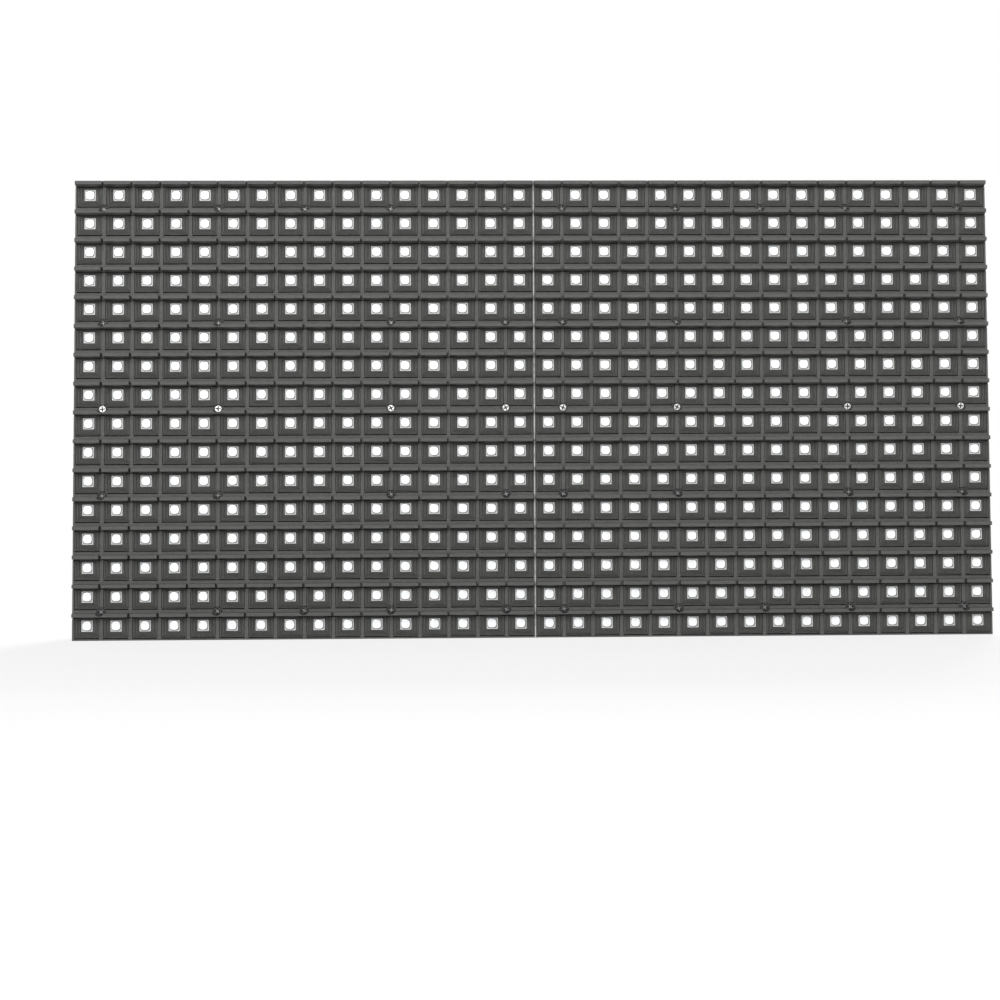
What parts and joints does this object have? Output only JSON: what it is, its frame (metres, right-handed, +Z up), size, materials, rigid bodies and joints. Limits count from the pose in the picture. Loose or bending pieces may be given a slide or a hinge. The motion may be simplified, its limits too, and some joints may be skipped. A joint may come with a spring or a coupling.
{
  "type": "rgb led matrix panel",
  "caption": "Outdoor full-colour LED display module: louvred front mask with rain visors over rows of surface-mount LEDs, green circuit board, ribbed rear frame with brass inserts.",
  "frame": {"origin": "bottom centre of the panel's box, on its lower edge", "axes": "+X to the right seen from the lit side, which looks along -Y; +Z up; the fixings' axes run along +Y"},
  "size_m": [0.32, 0.0216, 0.16],
  "materials": {
    "mask": "fine matt",
    "led": "white body, clear lens",
    "board": "green solder mask",
    "housing": "fine grain",
    "insert": "turned",
    "chip": "moulded",
    "capacitor_foot": "moulded",
    "capacitor_can": "drawn can",
    "header": "moulded",
    "supply_plug": "natural nylon"
  },
  "bodies": {
    "root": {"mask_left": "mask", "mask_right": "mask", "circuit_board": "board", "rear_frame": "housing", "brass_inserts": "insert", "data_in_header": "header", "data_out_header": "header", "power_header": "supply_plug", "led_row_01": "led", "led_row_02": "led", "led_row_03": "led", "led_row_04": "led", "led_row_05": "led", "led_row_06": "led", "led_row_07": "led", "led_row_08": "led", "led_row_09": "led", "led_row_10": "led", "led_row_11": "led", "led_row_12": "led", "led_row_13": "led", "led_row_14": "led", "led_row_15": "led", "led_row_16": "led", "driver_chip_01": "chip", "driver_chip_02": "chip", "driver_chip_03": "chip", "driver_chip_04": "chip", "driver_chip_05": "chip", "driver_chip_06": "chip", "driver_chip_07": "chip", "driver_chip_08": "chip", "driver_chip_09": "chip", "driver_chip_10": "chip", "driver_chip_11": "chip", "driver_chip_12": "chip", "driver_chip_13": "chip", "driver_chip_14": "chip", "driver_chip_15": "chip", "driver_chip_16": "chip", "driver_chip_17": "chip", "driver_chip_18": "chip", "driver_chip_19": "chip", "driver_chip_20": "chip", "driver_chip_21": "chip", "driver_chip_22": "chip", "driver_chip_23": "chip", "driver_chip_24": "chip", "logic_chip_1": "chip", "logic_chip_2": "chip", "logic_chip_3": "chip", "logic_chip_4": "chip", "capacitor_base_1": "capacitor_foot", "capacitor_base_2": "capacitor_foot", "capacitor_can_1": "capacitor_can", "capacitor_can_2": "capacitor_can"}
  },
  "joints": []
}
